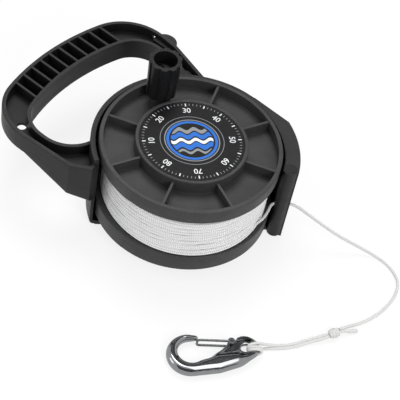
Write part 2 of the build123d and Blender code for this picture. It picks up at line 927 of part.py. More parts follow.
def line_tube(name, route):
    points = [Vector(*point) for point in route]
    radii = bend_radii(points)
    path = FilletPolyline(*points, radius=radii)
    section = Plane(origin=points[0], z_dir=points[1] - points[0]) * Circle(line_radius)
    body = sweep(section, path=path)
    share = body.volume / (path.length * math.pi * line_radius**2)
    print(name, "length", round(path.length, 1), "volume share", round(share, 3))
    print(name, "bend radii", [round(radius, 1) for radius in radii])
    return body


def line_lead():
    return line_tube("line_lead", lead_route)


def line_free():
    return line_tube("line_free", free_route)


def line_loop():
    return line_tube("line_loop", loop_route)


def line_tail():
    return line_tube("line_tail", tail_route)


def line_knot():
    plane = Plane(origin=(knot_x, knot_y, knot_height), z_dir=polar(1, knot_angle))
    core = Cylinder(knot_core, knot_length)
    body = fillet(core.edges().filter_by(GeomType.CIRCLE), knot_end_round)
    for index in range(knot_wraps):
        along = (index - (knot_wraps - 1) / 2) * 2 * knot_wrap_radius
        tilt = knot_wrap_tilt if index % 2 else -knot_wrap_tilt
        body += Pos(0, 0, along) * Rot(tilt, 0, 0) * Torus(knot_wrap, knot_wrap_radius)
    return plane * body


# Snap hook


def hook_body():
    outline = around([(bow_x, bow_y, bow_radius), (eye_centre_x, eye_centre_y, eye_outer)])
    side = Plane.XZ * polygon(
        [
            (-2 * eye_outer, shank_bottom),
            (shank_end, shank_bottom),
            (taper_end, 0),
            (2 * bow_x, 0),
            (2 * bow_x, hook_thickness),
            (taper_end, hook_thickness),
            (shank_end, shank_top),
            (-2 * eye_outer, shank_top),
        ]
    )
    body = slab(outline, 0, hook_thickness) & extrude(side, amount=4 * bow_radius, both=True)
    body = fillet(body.edges().filter_by(lambda edge: abs(edge.tangent_at(0).Z) < level_share), hook_round)
    throat = around([(throat_x, throat_y, throat_radius), (heel_x, heel_y, heel_radius)])
    mouth = Pos((mouth_start + mouth_end) / 2, heel_y - bow_radius / 2)
    mouth *= Rectangle(mouth_end - mouth_start, bow_radius)
    body -= slab(throat + mouth, -overrun, hook_thickness + overrun)
    body -= disc(eye_hole, 0, hook_thickness, (eye_centre_x, eye_centre_y))
    rims = body.edges().filter_by(GeomType.CIRCLE)
    body = fillet(rims.filter_by(lambda edge: math.isclose(edge.radius, eye_hole)), eye_round)
    seat_radius = gate_wire_radius + gate_seat_gap
    seat = around([(gate_reach, gate_side, seat_radius), (mouth_end, gate_side, seat_radius)])
    body -= slab(seat, -overrun, hook_thickness + overrun)
    body -= disc(gate_pin_radius, 0, hook_thickness, (pivot_x, pivot_y))
    return hook_place * body


def gate_pin():
    low = gate_low - gate_wire_radius + gate_pin_end
    high = gate_high + gate_wire_radius - gate_pin_end
    return hook_place * disc(gate_pin_radius, low, high, (pivot_x, pivot_y))


def hook_gate():
    """A bent wire whose two legs straddle the shank and meet in front of the hook's nose."""
    pivot = (pivot_x, pivot_y)
    way = (Vector(gate_reach, gate_side) - Vector(*pivot)).normalized()
    start = Vector(*pivot) + way * (gate_eyelet + gate_pin_radius) / 2
    path = FilletPolyline(
        start + Vector(0, 0, gate_low),
        Vector(gate_reach, gate_side, gate_low),
        Vector(gate_reach, gate_side, gate_high),
        start + Vector(0, 0, gate_high),
        radius=gate_bend,
    )
    section = Plane(origin=path @ 0, z_dir=way) * Circle(gate_wire_radius)
    body = sweep(section, path=path)
    for middle in (gate_low, gate_high):
        low = middle - gate_eyelet_thickness / 2
        body += tube(gate_eyelet, gate_pin_radius + running_gap, low, low + gate_eyelet_thickness, pivot)
    return hook_place * body


makers = [
    reel_frame,
    guide_plug,
    axle_pin,
    thrust_washer,
    axle_cap_washer,
    axle_screw,
    spool_upper,
    spool_lower,
    upper_bush,
    lower_bush,
    barrel_screws,
    hub_label,
    line_core,
    line_winding,
    knob_insert,
    knob_spindle,
    knob_grip,
    thumb_lever,
    lever_shaft,
    lever_screw,
    pawl,
    pawl_clip,
    detent_ball,
    detent_spring,
    line_lead,
    line_free,
    line_knot,
    line_tail,
    line_loop,
    hook_body,
    hook_gate,
    gate_pin,
]

os.makedirs("parts", exist_ok=True)
for maker in makers:
    export_step(maker(), "parts/" + maker.__name__ + ".step")
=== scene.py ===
import json
import math

import bpy
import numpy as np
from mathutils import Matrix, Vector, noise


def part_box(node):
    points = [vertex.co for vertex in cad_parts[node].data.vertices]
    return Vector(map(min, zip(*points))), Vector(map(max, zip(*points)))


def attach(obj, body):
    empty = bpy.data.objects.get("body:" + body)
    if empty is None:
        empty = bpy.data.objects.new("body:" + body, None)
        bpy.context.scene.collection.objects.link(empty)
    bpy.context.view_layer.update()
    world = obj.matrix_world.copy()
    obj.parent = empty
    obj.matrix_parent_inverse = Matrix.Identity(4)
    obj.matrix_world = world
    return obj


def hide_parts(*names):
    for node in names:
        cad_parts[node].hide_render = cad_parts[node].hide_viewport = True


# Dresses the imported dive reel: materials on its CAD nodes, a fuller line and hook, and the stage.
# Places are in the row frame, in metres, with MM for millimetres.
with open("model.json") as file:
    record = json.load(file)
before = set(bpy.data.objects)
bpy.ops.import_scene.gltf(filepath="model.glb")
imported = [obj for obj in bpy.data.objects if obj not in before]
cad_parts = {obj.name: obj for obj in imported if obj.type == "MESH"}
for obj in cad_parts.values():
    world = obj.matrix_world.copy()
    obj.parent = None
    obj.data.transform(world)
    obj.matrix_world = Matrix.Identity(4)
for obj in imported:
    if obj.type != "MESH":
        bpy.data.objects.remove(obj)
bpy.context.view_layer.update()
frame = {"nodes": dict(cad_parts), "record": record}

MM = 0.001
LINE_RADIUS = 1.1 * MM
WOUND_RADIUS = 1.0 * MM
line_lift = 0.2 * MM

# Winding: a neat layer, and looser turns over it
outer_turn = 59.2 * MM
bulge = 4.6 * MM
bulge_angle = math.radians(-38.0)
winding_spread = 0.7 * MM
hidden_angle = math.radians(140.0)
turn_steps = 110
neat_turns = 18
neat_depth = 1.1 * MM
neat_wave = 0.3 * MM
neat_wave_scale, neat_wave_drift = 1.7, 0.6
neat_swell = 0.25 * MM
neat_swell_pace, neat_swell_place = 2.0, (5.0, 1.0)
loose_turns = 11
loose_drift = 7.0 * MM
loose_drift_pace, loose_drift_place = 0.45, (2.0, 9.0)
loose_slant = 4.2 * MM
loose_slant_start = 0.9
loose_swell = 0.2 * MM
loose_swell_pace, loose_swell_place = 3.0, (1.0, 4.0)

# Inner layers of line under the winding
drum_inner = 22.1 * MM
drum_outer = outer_turn - 2.2 * MM
drum_ripples, ripple_steps = 20, 5
ripple_depth = 0.5 * MM
drum_sides = 120
drum_uv_rise = 0.3

# Cut end of the line, which frays thicker
tail_swell = 0.35 * LINE_RADIUS

# Knot: wraps round its strands, and a strand that crosses over them
knot_half = 4.4 * MM
knot_radius = 1.05 * LINE_RADIUS
wrap_turns, wrap_steps = 3.6, 26
wrap_start = 0.6
wrap_spread_share = 1.5
wrap_reach = 2.7 * MM
wrap_end_share, wrap_flat_share = 0.72, 0.8
wrap_lean = 0.8 * MM
wrap_lift = 0.15 * MM
over_steps = 24
over_spread_share = 1.9
over_lift = 2.3 * MM
over_rise_share, over_lean_share = 0.9, 0.3
over_sway = 1.0 * MM
core_offset = 0.95 * MM
core_pinch_share = 0.4

# Hook, in millimetres in its own plane, as in the part's source, with x from its eye to its bow
hook_x, hook_y = 113.2, -65.7
hook_turn = math.radians(-130.96)
hook_level = 4.05
hook_step = 0.4
hook_round = 4.4
hook_grid_x, hook_grid_y = (-13.0, 56.0), (-15.0, 21.0)

# Circles (x, y, radius) that the casting's outline and its throat are drawn round
bow_circle, back_circle = (38.0, 2.7, 16.3), (21.0, 3.5, 14.7)
shank_circle, ring_circle = (8.0, 2.2, 12.7), (-1.5, -0.6, 10.3)
boss_circle = (8.4, -4.4, 3.0)
throat_circle, waist_circle, heel_circle = (36.8, 0.4, 8.6), (27.5, -0.8, 7.0), (17.4, -2.4, 3.0)
nose_circle = (27.5, -6.0, 2.2)
mouth_middle, mouth_half, mouth_side = 20.6, 9.0, -2.4
neck_start, neck_end, neck_side = 1.0, 21.0, -4.2
eye_x, eye_y = -1.3, 0.8
eye_bore = 3.3

# How softly its cuts and edges run into each other
throat_blend, nose_blend, mouth_blend, neck_blend = 1.5, 1.0, 2.5, 1.0
edge_blend, eye_blend = 1.2, 0.3

# Thickness of the casting, each way from its middle, and the stretches over which it changes
thin_half = 1.9
thick_extra = 2.1
nose_thinning = 1.7
least_half = 0.05
limb_stretch = (8.0, 28.0)
back_stretch = (2.5, 8.0)
nose_stretches = (-39.0, -29.0), (3.5, 6.5)
dish_stretch = (-8.8, -4.8)
dish_half, dish_rise, dish_rise_stretch = 1.4, 1.5, (0.5, 5.5)
far_stretches = (3.8, 5.5), (-4.0, -1.0)
near_stretches = (1.0, 4.5), (-3.0, 1.0)
eye_lip, eye_lip_half = 6.5, 1.7

# How the casting's mesh is snapped, remeshed and smoothed
snap_rounds = 3
snap_probe = 0.01
snap_least_slope = 0.2
hook_voxel = 0.3 * MM
melt_share, melt_rounds = 0.5, 90

# Turns of the loop round the eye's rim, in the hook's own plane
rim_middle = (-8.0, 0.6, 4.15)
rim_half = (4.8, 2.9)
rim_turns, rim_steps = 2, 28
rim_start = 0.25
rim_pitch = 1.9
rim_curve = 0.05

# Dial on the label
number_count = 8
number_step = 10
number_size = 6.2 * MM
number_circle = 28.6 * MM
number_ink_height = 0.02 * MM
number_ink_half = 0.01 * MM
number_bolder = 0.06 * MM
label_turn = math.radians(48.0)

# Camera, solved from the photograph
camera_place = Vector((0.3381, -0.5505, 0.7511))
camera_right = Vector((0.7632, 0.6307, 0.1399))
camera_up = Vector((-0.5538, 0.5272, 0.6445))
camera_lens = 120.4
camera_sensor = 36.0

# What the lamps and the cards are turned to
reel_aim = (0.0, 0.0, 0.03)
line_aim = (0.05, -0.05, 0.0)
hook_aim = (0.11, -0.07, 0.0)

# Routes of the line, in millimetres: the part's own points, a few of them moved to follow the photograph
lead_route = [
    (61.9, -2.4, 34.9),
    (64.0, 8.5, 34.6),
    (61.9, 19.5, 34.1),
    (58.9, 27.4, 33.4),
    (60.3, 31.5, 33.0),
    (63.1, 34.3, 33.0),
]
free_route = [
    (63.1, 34.3, 33.0),
    (68.8, 40.0, 33.0),
    (80.3, 43.8, 28.5),
    (92.2, 49.1, 21.5),
    (104.7, 55.8, 13.5),
    (118.2, 64.6, 6.0),
    (130.6, 70.3, 1.6),
    (142.0, 70.9, 0.9),
    (152.8, 66.9, 0.9),
    (159.4, 60.5, 0.9),
    (163.2, 49.7, 0.9),
    (164.0, 36.4, 0.9),
    (162.3, 23.2, 0.9),
    (158.0, 11.0, 0.95),
    (153.6, 0.9, 3.3),
    (151.3, -4.95, 3.3),
]
tail_route = [
    (153.05, -5.65, 3.3),
    (154.2, -2.9, 3.2),
    (157.4, 0.2, 1.8),
    (160.4, 5.0, 0.9),
]
loop_route = [
    (147.9, -13.35, 3.3),
    (145.7, -18.6, 3.1),
    (139.6, -27.6, 1.6),
    (135.2, -36.5, 1.2),
    (129.6, -43.8, 1.5),
    (124.0, -49.9, 2.8),
    (119.9, -54.6, 5.2),
    (117.6, -58.0, 7.15),
    (114.7, -63.1, 7.15),
    (116.4, -64.1, 0.95),
    (119.3, -59.0, 0.95),
    (121.5, -55.2, 0.95),
    (125.2, -50.9, 0.95),
    (131.1, -45.0, 0.95),
    (136.8, -37.5, 0.95),
    (141.4, -28.4, 1.4),
    (147.4, -19.4, 3.1),
    (149.75, -14.1, 3.3),
]

# Colours
WHITE = (1.0, 1.0, 1.0, 1.0)


def srgb(*values):
    """A colour given as 0 to 255, in the linear values that a shader takes."""
    shares = [value / 255 for value in values]
    return tuple(v / 12.92 if v <= 0.04045 else ((v + 0.055) / 1.055) ** 2.4 for v in shares) + (1.0,)


def darkened(colour, share):
    return tuple(value * share for value in colour[:3]) + (1.0,)


# Shaders


class Shader:
    """A material whose nodes are made one by one."""

    def __init__(self, name):
        self.material = bpy.data.materials.new(name)
        self.material.use_nodes = True
        self.tree = self.material.node_tree
        self.surface = self.tree.nodes["Principled BSDF"]

    def put(self, socket, value):
        if isinstance(value, bpy.types.NodeSocket):
            self.tree.links.new(value, socket)
        else:
            socket.default_value = value

    def node(self, kind, inputs=None, **settings):
        made = self.tree.nodes.new("ShaderNode" + kind)
        for key, value in settings.items():
            setattr(made, key, value)
        for key, value in (inputs or {}).items():
            self.put(made.inputs[key], value)
        return made

    def math(self, operation, *values):
        made = self.node("Math", operation=operation)
        for index, value in enumerate(values):
            self.put(made.inputs[index], value)
        return made.outputs[0]

    def vector(self, operation, *values):
        made = self.node("VectorMath", operation=operation)
        for index, value in enumerate(values):
            self.put(made.inputs[index], value)
        return made

    def place(self):
        return self.node("TexCoord").outputs["Object"]

    def noise(self, place, scale, detail=3.0, roughness=0.5):
        inputs = {"Vector": place, "Scale": scale, "Detail": detail, "Roughness": roughness}
        return self.node("TexNoise", inputs).outputs["Fac"]

    def span(self, value, low, high, to_low=0.0, to_high=1.0):
        """Maps a stretch of values to another and holds the ends."""
        inputs = {
            "Value": value,
            "From Min": low,
            "From Max": high,
            "To Min": to_low,
            "To Max": to_high,
        }
        return self.node("MapRange", inputs).outputs["Result"]

    def mix(self, share, first, second):
        made = self.node("Mix", data_type="RGBA")
        for index, value in ((0, share), (6, first), (7, second)):
            self.put(made.inputs[index], value)
        return made.outputs[2]

    def worn_edge(self, radius):
        """A rounded normal, and how far it leans from the real one: 1 on an edge and 0 on a flat."""
        flat, sharp = 0.98, 0.8
        rounded = self.node("Bevel", {"Radius": radius}, samples=6).outputs["Normal"]
        plain = self.node("NewGeometry").outputs["Normal"]
        agreement = self.vector("DOT_PRODUCT", rounded, plain).outputs["Value"]
        return rounded, self.span(agreement, flat, sharp)

    def bump(self, height, distance, strength=1.0, normal=None):
        inputs = {"Height": height, "Distance": distance, "Strength": strength}
        if normal:
            inputs["Normal"] = normal
        return self.node("Bump", inputs).outputs["Normal"]

    def finish(self, **sockets):
        for name, value in sockets.items():
            self.put(self.surface.inputs[name.replace("_", " ")], value)
        return self.material


def moulded(name, colour, worn, roughness, grain_scale, grain_depth, edge_radius, hollow_shade=0.0):
    """Moulded plastic: fine grain, faint clouds of colour, paler smoother edges and hollows darkened with
    painted shade.
    """
    cloud_shade, speck_share, edge_share = 0.8, 0.25, 0.15
    cloud_stretch, speck_stretch, flow_stretch = (0.35, 0.65), (0.55, 0.75), (0.3, 0.7)
    flow_scale = (25.0, 25.0, 160.0)
    flow_rough, edge_smooth = 0.06, -0.08
    # How far the painted shade in hollows reaches, how it fades, and its near-black colour
    hollow_reach, hollow_stretch, dirt_and_shade = 16 * MM, (0.45, 0.92), srgb(8, 8, 8)
    s = Shader(name)
    place = s.place()
    cloud = s.noise(place, scale=70.0, detail=4.0, roughness=0.6)
    speck = s.noise(place, scale=900.0, detail=2.0)
    grain = s.noise(place, scale=grain_scale, detail=2.0, roughness=0.6)
    flow = s.noise(s.vector("MULTIPLY", place, flow_scale).outputs[0], scale=1.0, detail=3.0)
    normal, edge = s.worn_edge(edge_radius)
    tone = s.mix(s.span(cloud, *cloud_stretch), darkened(colour, cloud_shade), colour)
    tone = s.mix(s.math("MULTIPLY", s.span(speck, *speck_stretch), speck_share), tone, worn)
    tone = s.mix(s.math("MULTIPLY", edge, edge_share), tone, worn)
    # Painted shade: an ambient occlusion mask darkens the colour in hollows and corners, where shade
    # falls
    if hollow_shade:
        open_share = s.node("AmbientOcclusion", {"Distance": hollow_reach}, samples=6).outputs["AO"]
        tone = s.mix(s.span(open_share, *hollow_stretch, hollow_shade, 0.0), tone, dirt_and_shade)
    flowed = s.span(flow, *flow_stretch, roughness - flow_rough, roughness + flow_rough)
    rough = s.math("ADD", flowed, s.math("MULTIPLY", edge, edge_smooth))
    relief = s.bump(grain, grain_depth, strength=0.7, normal=normal)
    return s.finish(Base_Color=tone, Roughness=rough, Normal=relief, Specular_IOR_Level=0.25)


def metal(name, colour, roughness, wave_scale, wave_depth, streak=0.0, edge_radius=0.3 * MM, smears=1.0):
    """Metal, polished or turned, with smears that dull it here and there."""
    smear_shade, smear_rough = 0.28, 0.1
    shade_stretch, rough_stretch = (0.35, 0.7), (0.3, 0.7)
    turning_scale = (400.0, 400.0, 4000.0)
    s = Shader(name)
    s.surface.inputs["Metallic"].default_value = 1.0
    place = s.place()
    wave = s.noise(place, scale=wave_scale, detail=2.0)
    smear = s.noise(place, scale=260.0, detail=5.0, roughness=0.7)
    fine = s.noise(s.vector("MULTIPLY", place, turning_scale).outputs[0], scale=1.0, detail=2.0)
    normal = s.worn_edge(edge_radius)[0] if edge_radius else None
    tone = s.mix(s.span(smear, *shade_stretch), darkened(colour, 1 - smear_shade * smears), colour)
    rough = s.span(smear, *rough_stretch, roughness, roughness + smear_rough * smears)
    height = s.math("ADD", wave, s.math("MULTIPLY", fine, streak))
    relief = s.bump(height, wave_depth, strength=0.6, normal=normal)
    return s.finish(Base_Color=tone, Roughness=rough, Normal=relief)


def braided(name, colour, shade, plait):
    """Braided nylon on a tube whose UV runs along it in metres and round it from 0 to 1."""
    turns_round = 2.0
    fibre_share, dirt_share = 0.8, 0.35
    gap_stretch, dirt_stretch = (-0.9, 0.3), (0.62, 0.9)
    s = Shader(name)
    split = s.node("SeparateXYZ", {"Vector": s.node("UVMap").outputs["UV"]})
    along = s.math("DIVIDE", split.outputs["X"], plait)
    height = None
    for hand in (1.0, -1.0):
        turn = s.math("MULTIPLY_ADD", split.outputs["Y"], turns_round * hand, along)
        wave = s.math("SINE", s.math("MULTIPLY", turn, math.tau))
        height = wave if height is None else s.math("MAXIMUM", height, wave)
    fibre = s.noise(s.place(), scale=5200.0, detail=3.0, roughness=0.7)
    dirt_and_shade = s.noise(s.place(), scale=55.0, detail=4.0, roughness=0.6)
    tone = s.mix(s.span(height, *gap_stretch), shade, colour)
    tone = s.mix(s.span(dirt_and_shade, *dirt_stretch, 0.0, dirt_share), tone, shade)
    relief = s.math("ADD", height, s.math("MULTIPLY", fibre, fibre_share))
    return s.finish(
        Base_Color=tone,
        Roughness=0.62,
        Sheen_Weight=0.2,
        Sheen_Roughness=0.4,
        Normal=s.bump(relief, distance=0.04 * MM, strength=0.25),
    )


def label_print(name):
    """A made-up dial: waves in a ring, with ticks round them, drawn in millimetres."""
    soft = 0.12
    wave_length, wave_height = 10.5, 1.5
    wave_edge, wave_fade = 15.0, 0.2
    scuff_stretch, scuff_rough = (0.3, 0.7), (0.3, 0.42)
    s = Shader(name)
    inputs = {"Vector": s.place(), "Angle": -label_turn}
    upright = s.node("VectorRotate", inputs, rotation_type="Z_AXIS")
    scaled = s.vector("SCALE", upright.outputs[0])
    scaled.inputs["Scale"].default_value = 1 / MM
    split = s.node("SeparateXYZ", {"Vector": scaled.outputs[0]})
    x, y = split.outputs["X"], split.outputs["Y"]
    flat = s.node("CombineXYZ", {"X": x, "Y": y})
    radius = s.vector("LENGTH", flat.outputs[0]).outputs["Value"]
    share = s.math("ADD", s.math("DIVIDE", s.math("ARCTAN2", y, x), math.tau), 0.5)

    def near(value, centre, half):
        off = s.math("ABSOLUTE", s.math("SUBTRACT", value, centre))
        return s.span(off, half - soft, half + soft, 1.0, 0.0)

    def tick(count, wide, centre, half):
        """Ticks round the dial, that wide in millimetres at their middle radius."""
        cycle = s.math("FRACT", s.math("ADD", s.math("MULTIPLY", share, count), 0.5))
        off_share = s.math("ABSOLUTE", s.math("SUBTRACT", cycle, 0.5))
        off = s.math("MULTIPLY", off_share, math.tau * centre / count)
        bar = s.span(off, wide / 2 - soft, wide / 2 + soft, 1.0, 0.0)
        return s.math("MULTIPLY", bar, near(radius, centre, half))

    blue, white, grey = srgb(28, 104, 196), srgb(226, 228, 230), srgb(138, 140, 142)
    bands = (
        (9.4, 1.7, grey),
        (4.4, 2.1, blue),
        (-0.6, 1.5, white),
        (-5.4, 2.3, blue),
        (-10.4, 1.1, grey),
    )
    swell = s.math("MULTIPLY", s.math("SINE", s.math("MULTIPLY", x, math.tau / wave_length)), wave_height)
    level = s.math("SUBTRACT", y, swell)
    inside = s.span(radius, wave_edge, wave_edge + wave_fade, 1.0, 0.0)
    tone = srgb(16, 16, 18)
    for centre, half, colour in bands:
        tone = s.mix(s.math("MULTIPLY", inside, near(level, centre, half)), tone, colour)
    tone = s.mix(near(radius, centre=17.3, half=1.0), tone, blue)
    tone = s.mix(near(radius, centre=19.4, half=0.35), tone, grey)
    tone = s.mix(tick(count=80, wide=0.45, centre=34.6, half=0.8), tone, grey)
    tone = s.mix(tick(count=16, wide=0.8, centre=34.2, half=1.3), tone, white)
    tone = s.mix(near(radius, centre=22.6, half=0.2), tone, grey)
    scuff = s.noise(s.place(), scale=400.0, detail=6.0, roughness=0.7)
    rough = s.span(scuff, *scuff_stretch, *scuff_rough)
    relief = s.bump(scuff, distance=0.02 * MM, strength=0.3)
    return s.finish(Base_Color=tone, Roughness=rough, Normal=relief, Specular_IOR_Level=0.2)


spool_plastic = moulded(
    "spool_plastic",
    colour=srgb(58, 58, 59),
    worn=srgb(88, 88, 89),
    roughness=0.5,
    grain_scale=3200.0,
    grain_depth=0.05 * MM,
    edge_radius=0.5 * MM,
)
frame_plastic = moulded(
    "frame_plastic",
    colour=srgb(36, 36, 37),
    worn=srgb(62, 62, 64),
    roughness=0.5,
    grain_scale=2400.0,
    grain_depth=0.07 * MM,
    edge_radius=0.6 * MM,
    # Painted shade darkens the frame's hollows
    hollow_shade=0.75,
)
knob_plastic = moulded(
    "knob_plastic",
    colour=srgb(22, 22, 23),
    worn=srgb(60, 60, 62),
    roughness=0.4,
    grain_scale=3600.0,
    grain_depth=0.03 * MM,
    edge_radius=0.4 * MM,
)
bush_plastic = moulded(
    "bush_plastic",
    colour=srgb(222, 222, 216),
    worn=srgb(240, 240, 236),
    roughness=0.35,
    grain_scale=3600.0,
    grain_depth=0.02 * MM,
    edge_radius=0.3 * MM,
)
brass = metal(
    "brass",
    colour=srgb(205, 170, 96),
    roughness=0.25,
    wave_scale=300.0,
    wave_depth=0.03 * MM,
    streak=0.5,
)
polished_steel = metal(
    "polished_steel",
    colour=srgb(142, 143, 145),
    roughness=0.06,
    wave_scale=60.0,
    wave_depth=0.06 * MM,
    edge_radius=None,
    smears=0.35,
)
gate_wire = metal(
    "gate_wire",
    colour=srgb(120, 121, 123),
    roughness=0.16,
    wave_scale=60.0,
    wave_depth=0.1 * MM,
    edge_radius=None,
)
turned_steel = metal(
    "steel",
    colour=srgb(178, 179, 182),
    roughness=0.24,
    wave_scale=300.0,
    wave_depth=0.03 * MM,
    streak=0.6,
)
blackened_steel = metal(
    "blackened_steel",
    colour=srgb(60, 60, 62),
    roughness=0.3,
    wave_scale=300.0,
    wave_depth=0.03 * MM,
    streak=0.6,
)
line_white = braided("line", srgb(204, 204, 203), srgb(190, 190, 189), plait=1.7 * MM)
wound_white = braided("line_wound", srgb(226, 226, 226), srgb(170, 170, 170), plait=1.5 * MM)
# The inner layers' line is a darker copy of the wound line: painted shade where it shows between the
# turns
shaded_inner_line = braided("line_inner_shaded", srgb(205, 205, 205), srgb(180, 180, 180), plait=1.2 * MM)
label_film = label_print("label")
number_ink = moulded(
    "label_ink",
    colour=srgb(232, 233, 234),
    worn=srgb(240, 240, 240),
    roughness=0.4,
    grain_scale=3000.0,
    grain_depth=0.01 * MM,
    edge_radius=0.05 * MM,
)

slot_materials = {
    "frame_plastic": frame_plastic,
    "spool_plastic": spool_plastic,
    "knob_plastic": knob_plastic,
    "bush_plastic": bush_plastic,
    "label": label_film,
    "line": line_white,
    "brass": brass,
    "polished_steel": polished_steel,
    "steel": turned_steel,
}
own_materials = {
    "lever_screw": blackened_steel,
    "knob_spindle": blackened_steel,
    "hook_gate": gate_wire,
    "gate_pin": polished_steel,
    "guide_plug": knob_plastic,
}


def dress_cad():
    """Gives every CAD node its material and shades its curved faces smooth."""
    weld_reach = 0.005 * MM
    smooth_angle = math.radians(28.0)
    for part in frame["record"]["subparts"]:
        node = frame["nodes"][part["node"]]
        node.data.materials.clear()
        finish = own_materials.get(part["node"], slot_materials[part["material_slot"]])
        node.data.materials.append(finish)
        node.data.polygons.foreach_set("use_smooth", [True] * len(node.data.polygons))
        weld = node.modifiers.new("weld", "WELD")
        weld.merge_threshold = weld_reach
        split = node.modifiers.new("split", "EDGE_SPLIT")
        split.split_angle = smooth_angle


def add_object(name, data):
    made = bpy.data.objects.new(name, data)
    bpy.context.scene.collection.objects.link(made)
    return made


def add_piece(name, data, body, slot, material, *replaced):
    """A piece that rides on a body, and stands for the CAD nodes that it replaces."""
    piece = add_object(name, data)
    data.materials.append(material)
    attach(piece, body)
    if replaced:
        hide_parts(*replaced)
    return piece


def plain_mesh(name, vertices, faces):
    data = bpy.data.meshes.new(name)
    data.from_pydata(vertices, [], faces)
    return data


def smooth_mesh(name, vertices, faces, uvs):
    """A mesh shaded smooth, with a UV pair for each corner of each face."""
    data = plain_mesh(name, vertices, faces)
    layer = data.uv_layers.new(name="UVMap")
    layer.data.foreach_set("uv", [value for pair in uvs for value in pair])
    data.polygons.foreach_set("use_smooth", [True] * len(data.polygons))
    return data


# Line


def route_points(route, steps=10):
    """Points along the smooth NURBS line that has the route's points as its control points."""
    curve = bpy.data.curves.new("route", "CURVE")
    curve.dimensions = "3D"
    curve.resolution_u = steps
    spline = curve.splines.new("NURBS")
    spline.points.add(len(route) - 1)
    for point, place in zip(spline.points, route):
        point.co = (MM * place[0], MM * place[1], MM * place[2] + line_lift, 1.0)
    spline.order_u = 3
    spline.use_endpoint_u = True
    holder = bpy.data.objects.new("route", curve)
    mesh = bpy.data.meshes.new_from_object(holder)
    points = [vertex.co.copy() for vertex in mesh.vertices]
    bpy.data.meshes.remove(mesh)
    bpy.data.objects.remove(holder)
    bpy.data.curves.remove(curve)
    return points


def tube_data(name, runs, radius, sides=12):
    """One mesh of tubes that follow lists of points, with UV along each tube in metres and round it."""
    vertices, faces, uvs = [], [], []
    for points in runs:
        rings = tube_rings(points, radius, sides)
        base = len(vertices)
        along = 0.0
        lengths = []
        for index, (centre, corners) in enumerate(rings):
            if index:
                along += (centre - rings[index - 1][0]).length
            lengths.append(along)
            vertices.extend(corners)
        for index in range(len(rings) - 1):
            low, high = base + index * sides, base + (index + 1) * sides
            start, end = lengths[index], lengths[index + 1]
            for side in range(sides):
                following = (side + 1) % sides
                faces.append((low + side, low + following, high + following, high + side))
                here, there = side / sides, (side + 1) / sides
                uvs += [(start, here), (start, there), (end, there), (end, here)]
        for ring_start, order in ((base, -1), (base + (len(rings) - 1) * sides, 1)):
            faces.append(tuple(range(ring_start, ring_start + sides))[::order])
            uvs += [(0.0, 0.0)] * sides
    return smooth_mesh(name, vertices, faces, uvs)


def tube_rings(points, radius, sides):
    """Centres and rings of corners along a line, carried along it without twist, with domed ends."""
    dome_shares = ((0.3, 0.9), (0.52, 0.55))
    ways = []
    for index, point in enumerate(points):
        before = points[max(index - 1, 0)]
        after = points[min(index + 1, len(points) - 1)]
        ways.append((after - before).normalized())
    across = ways[0].orthogonal().normalized()
    rings = []
    for index, (point, way) in enumerate(zip(points, ways)):
        across = (across - way * across.dot(way)).normalized()
        other = way.cross(across)
        size = radius(index) if callable(radius) else radius
        corners = []
        for side in range(sides):
            angle = math.tau * side / sides
            corners.append(point + across * (size * math.cos(angle)) + other * (size * math.sin(angle)))
        rings.append((point, corners))
    for end, way in ((0, -ways[0]), (len(points) - 1, ways[-1])):
        centre, corners = rings[end]
        size = (corners[0] - centre).length
        dome = []
        for share_along, share_out in dome_shares:
            push = way * size * share_along
            drawn_in = [centre + (corner - centre) * share_out + push for corner in corners]
            dome.append((centre + push, drawn_in))
        rings = dome[::-1] + rings if end == 0 else rings + dome
    return rings


def winding_reach(angle):
    """How far out the wound line lies: it is fullest towards the window's front."""
    return outer_turn + bulge * max(0.0, math.cos(angle - bulge_angle)) ** 2


def ripple(*place):
    """A smooth wave between about -1 and 1, the same in every run."""
    return noise.noise(Vector(place))


def on_circle(angle, reach, height):
    return Vector((reach * math.cos(angle), reach * math.sin(angle), height))


def neat_run(middle, half):
    """The layer beneath, whose turns lie side by side."""
    points = []
    for index in range(neat_turns * turn_steps + 1):
        turns = index / turn_steps
        angle = math.tau * turns + hidden_angle
        spot = Vector((math.cos(angle), math.sin(angle), turns * neat_wave_drift)) * neat_wave_scale
        height = middle + half * (2 * turns / neat_turns - 1) + neat_wave * ripple(*spot)
        swell = neat_swell * ripple(turns * neat_swell_pace, *neat_swell_place)
        reach = winding_reach(angle) - neat_depth + swell
        points.append(on_circle(angle, reach, height))
    return points


def loose_run(middle, half):
    """The turns over it, which wander and cross them at slight angles."""
    points = []
    for index in range(loose_turns * turn_steps + 1):
        turns = index / turn_steps
        angle = math.tau * turns + hidden_angle
        share = 2 * turns / loose_turns - 1
        room = 1 - share * share
        drift = ripple(turns * loose_drift_pace, *loose_drift_place) * loose_drift
        slant = math.sin(angle + loose_slant_start) * loose_slant
        height = middle + half * share + (drift + slant) * room
        height = min(max(height, middle - half), middle + half)
        swell = loose_swell * ripple(turns * loose_swell_pace, *loose_swell_place)
        reach = winding_reach(angle) + swell
        points.append(on_circle(angle, reach, height))
    return points


def make_winding():
    low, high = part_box("line_winding")
    middle = (low.z + high.z) / 2
    half = (high.z - low.z) / 2 + winding_spread - WOUND_RADIUS
    runs = [neat_run(middle, half), loose_run(middle, half)]
    data = tube_data("line_wound", runs, WOUND_RADIUS, sides=8)
    add_piece("line_wound", data, "spool", "line", wound_white, "line_winding")


